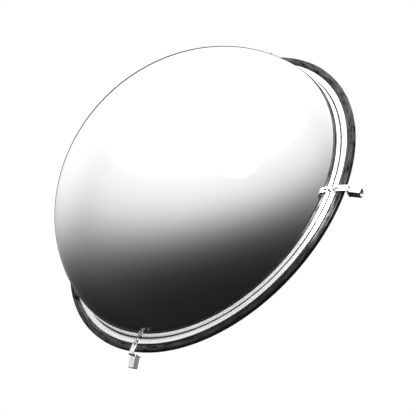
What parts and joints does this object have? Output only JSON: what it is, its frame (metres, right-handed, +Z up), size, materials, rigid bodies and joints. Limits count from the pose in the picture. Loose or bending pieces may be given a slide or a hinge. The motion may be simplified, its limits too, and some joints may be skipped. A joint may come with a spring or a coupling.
{
  "type": "traffic convex mirror",
  "caption": "Deep convex dome mirror for roads, with a bright rim ring, rubber edge trim, closed back and sliding rim clips that carry swivelling coupling nuts.",
  "frame": {"origin": "centre of the rim, on the plane of the rim's back face", "axes": "the mirror faces -Y and +Z is up, with clips at the top, right, bottom and left; +Y points out of the back"},
  "size_m": [0.714, 0.2652, 0.714],
  "materials": {
    "mirror_face": "polished",
    "ring_steel": "brushed along the rim",
    "gasket_foam": "matt closed-cell rubber",
    "trim_rubber": "extruded rubber with a fine grain, half gloss",
    "back_steel": "satin grey powder coat",
    "strap_steel": "bright zinc plate",
    "nut_steel": "bright zinc plate",
    "screw_steel": "stainless, plain"
  },
  "bodies": {
    "mirror": {"mirror_dome": "mirror_face", "front_ring": "ring_steel", "rim_gasket": "gasket_foam", "edge_trim": "trim_rubber", "back_plate": "back_steel", "clip_screws": "screw_steel", "rear_washers": "screw_steel", "rear_nuts": "screw_steel"},
    "clip_right": {"clip_strap_right": "strap_steel"},
    "nut_right": {"coupling_nut_right": "nut_steel", "swivel_screw_right": "screw_steel", "seat_washer_right": "screw_steel"},
    "clip_top": {"clip_strap_top": "strap_steel"},
    "nut_top": {"coupling_nut_top": "nut_steel", "swivel_screw_top": "screw_steel", "seat_washer_top": "screw_steel"},
    "clip_left": {"clip_strap_left": "strap_steel"},
    "nut_left": {"coupling_nut_left": "nut_steel", "swivel_screw_left": "screw_steel", "seat_washer_left": "screw_steel"},
    "clip_bottom": {"clip_strap_bottom": "strap_steel"},
    "nut_bottom": {"coupling_nut_bottom": "nut_steel", "swivel_screw_bottom": "screw_steel", "seat_washer_bottom": "screw_steel"}
  },
  "joints": [
    {"name": "clip_right_slide", "type": "slide", "parent": "mirror", "child": "clip_right", "axis": [1, 0, 0], "range_m": [0, 0.0012]},
    {"name": "nut_right_spin", "type": "hinge", "parent": "clip_right", "child": "nut_right", "pos_m": [0.33584, 0.00241, 0], "axis": [0.9659, 0.2588, 0], "continuous": true},
    {"name": "clip_top_slide", "type": "slide", "parent": "mirror", "child": "clip_top", "axis": [0, 0, 1], "range_m": [0, 0.0012]},
    {"name": "nut_top_spin", "type": "hinge", "parent": "clip_top", "child": "nut_top", "pos_m": [0, 0.00241, 0.33584], "axis": [0, 0.2588, 0.9659], "continuous": true},
    {"name": "clip_left_slide", "type": "slide", "parent": "mirror", "child": "clip_left", "axis": [-1, 0, 0], "range_m": [0, 0.0012]},
    {"name": "nut_left_spin", "type": "hinge", "parent": "clip_left", "child": "nut_left", "pos_m": [-0.33584, 0.00241, 0], "axis": [-0.9659, 0.2588, 0], "continuous": true},
    {"name": "clip_bottom_slide", "type": "slide", "parent": "mirror", "child": "clip_bottom", "axis": [0, 0, -1], "range_m": [0, 0.0012]},
    {"name": "nut_bottom_spin", "type": "hinge", "parent": "clip_bottom", "child": "nut_bottom", "pos_m": [0, 0.00241, -0.33584], "axis": [0, 0.2588, -0.9659], "continuous": true}
  ]
}
